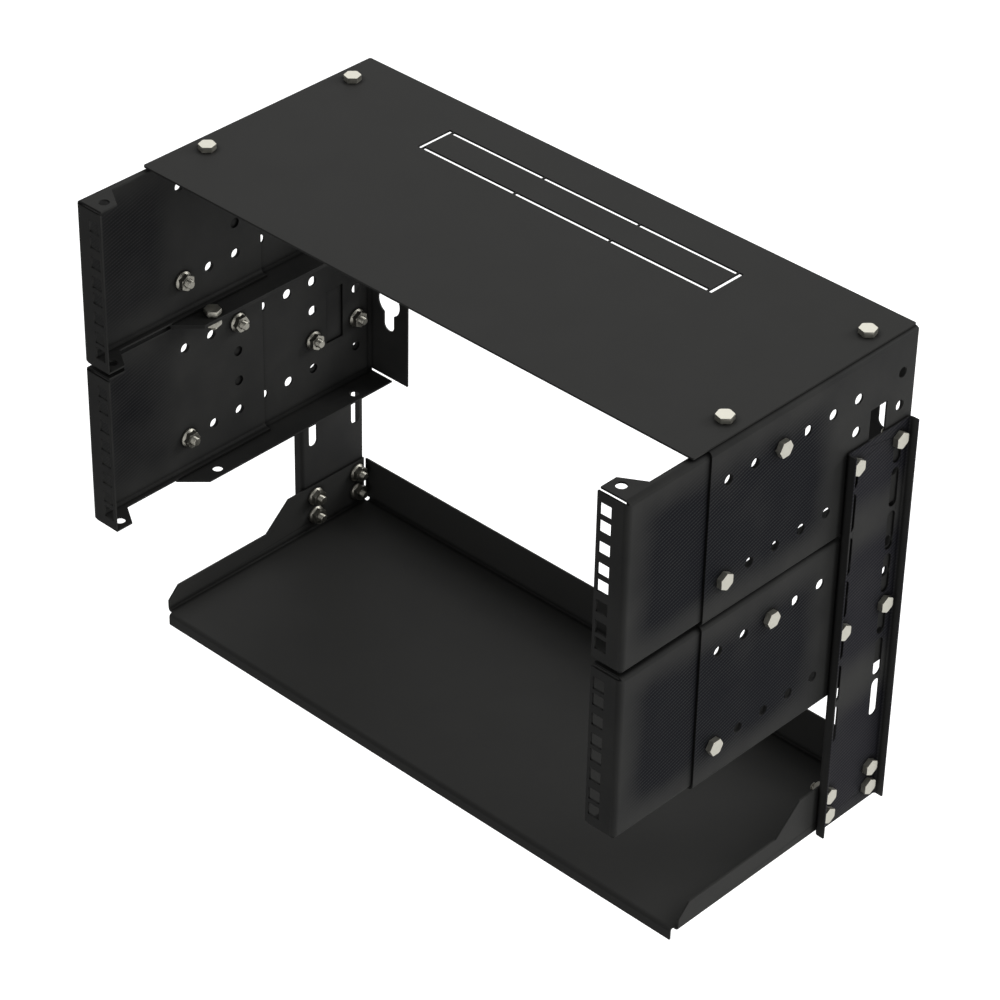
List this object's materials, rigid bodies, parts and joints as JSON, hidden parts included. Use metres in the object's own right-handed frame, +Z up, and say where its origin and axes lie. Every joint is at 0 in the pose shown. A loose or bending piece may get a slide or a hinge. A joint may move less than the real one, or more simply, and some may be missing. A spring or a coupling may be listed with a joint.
{
  "type": "wall mount open frame rack",
  "caption": "Open wall mount frame for rack equipment, with folded brackets, a flat top plate, slotted side channels and a hanging shelf.",
  "frame": {"origin": "on the wall plane, in the middle between the round openings of the four keyholes", "axes": "+Y into the wall, so the front faces -Y, +X to the right seen from the front, +Z up"},
  "size_m": [0.5212, 0.2794, 0.3981],
  "materials": {
    "black_powder_coat": "fine textured satin black powder coat",
    "zinc_plated_steel": "bright zinc plate"
  },
  "bodies": {
    "root": {"top_plate": "black_powder_coat", "rear_bracket_upper_right": "black_powder_coat", "rear_bracket_upper_left": "black_powder_coat", "rear_bracket_lower_right": "black_powder_coat", "rear_bracket_lower_left": "black_powder_coat", "front_bracket_upper_right": "black_powder_coat", "front_bracket_upper_left": "black_powder_coat", "front_bracket_lower_right": "black_powder_coat", "front_bracket_lower_left": "black_powder_coat", "channel_right": "black_powder_coat", "channel_left": "black_powder_coat", "shelf": "black_powder_coat", "top_plate_bolts": "zinc_plated_steel", "top_plate_nuts": "zinc_plated_steel", "stacking_bolts": "zinc_plated_steel", "stacking_nuts": "zinc_plated_steel", "depth_bolts_right": "zinc_plated_steel", "depth_bolts_left": "zinc_plated_steel", "depth_nuts_right": "zinc_plated_steel", "depth_nuts_left": "zinc_plated_steel", "channel_bolts_right": "zinc_plated_steel", "channel_bolts_left": "zinc_plated_steel", "channel_nuts_right": "zinc_plated_steel", "channel_nuts_left": "zinc_plated_steel", "shelf_bolts_right": "zinc_plated_steel", "shelf_bolts_left": "zinc_plated_steel", "shelf_nuts_right": "zinc_plated_steel", "shelf_nuts_left": "zinc_plated_steel"}
  },
  "joints": []
}
